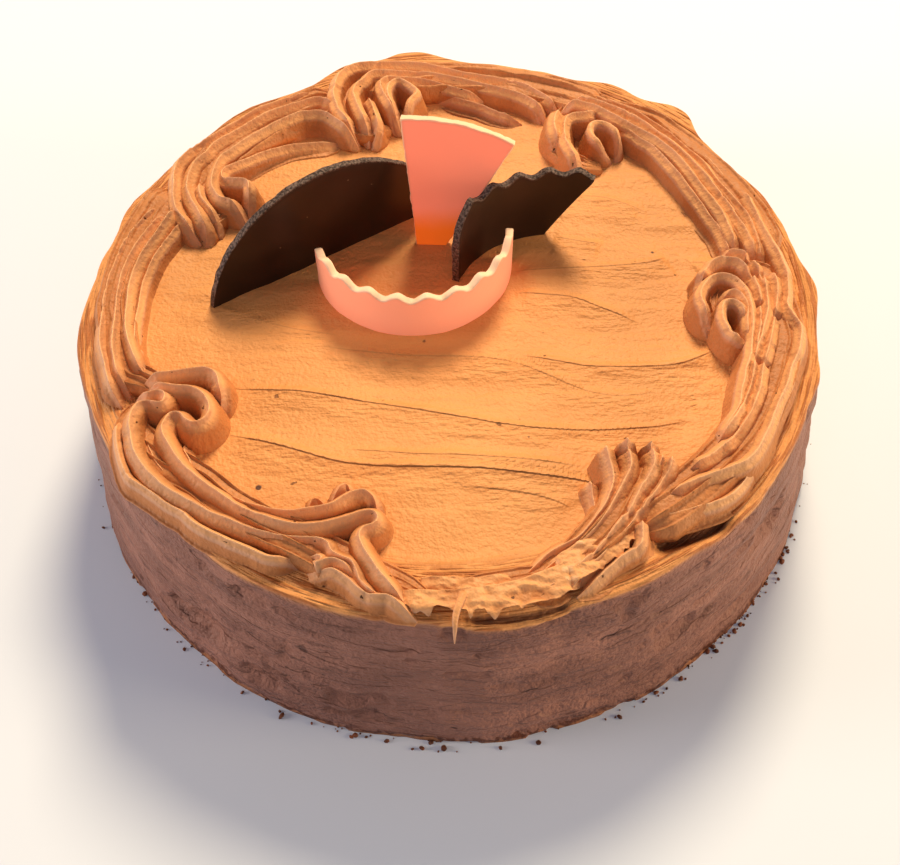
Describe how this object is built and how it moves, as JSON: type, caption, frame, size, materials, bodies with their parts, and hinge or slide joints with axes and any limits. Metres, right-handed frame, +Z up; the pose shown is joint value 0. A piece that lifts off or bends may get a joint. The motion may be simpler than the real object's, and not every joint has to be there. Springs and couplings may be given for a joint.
{
  "type": "layer cake",
  "caption": "Round frosted layer cake, uncut, with piped scrolls round the rim and thin chocolate decorations standing on top.",
  "frame": {"origin": "centre of the flat underside", "axes": "+Z up, the front of the cake faces -Y, +X to the right seen from the front"},
  "size_m": [0.225, 0.225, 0.0961],
  "materials": {
    "frosting": "chocolate buttercream, matte, spread with a palette knife",
    "piping": "chocolate buttercream, matte, piped through a star nozzle",
    "dark_chocolate": "dark chocolate, satin",
    "pink_chocolate": "pink coloured chocolate, satin"
  },
  "bodies": {
    "root": {"cake_body": "frosting", "scroll_left": "piping", "scroll_upper_left": "piping", "scroll_top": "piping", "scroll_upper_right": "piping", "scroll_right": "piping", "scroll_front_right": "piping", "scroll_front_left": "piping", "chocolate_half_moon": "dark_chocolate", "chocolate_fan": "dark_chocolate", "chocolate_wedge": "pink_chocolate", "chocolate_crescent": "pink_chocolate"}
  },
  "joints": []
}
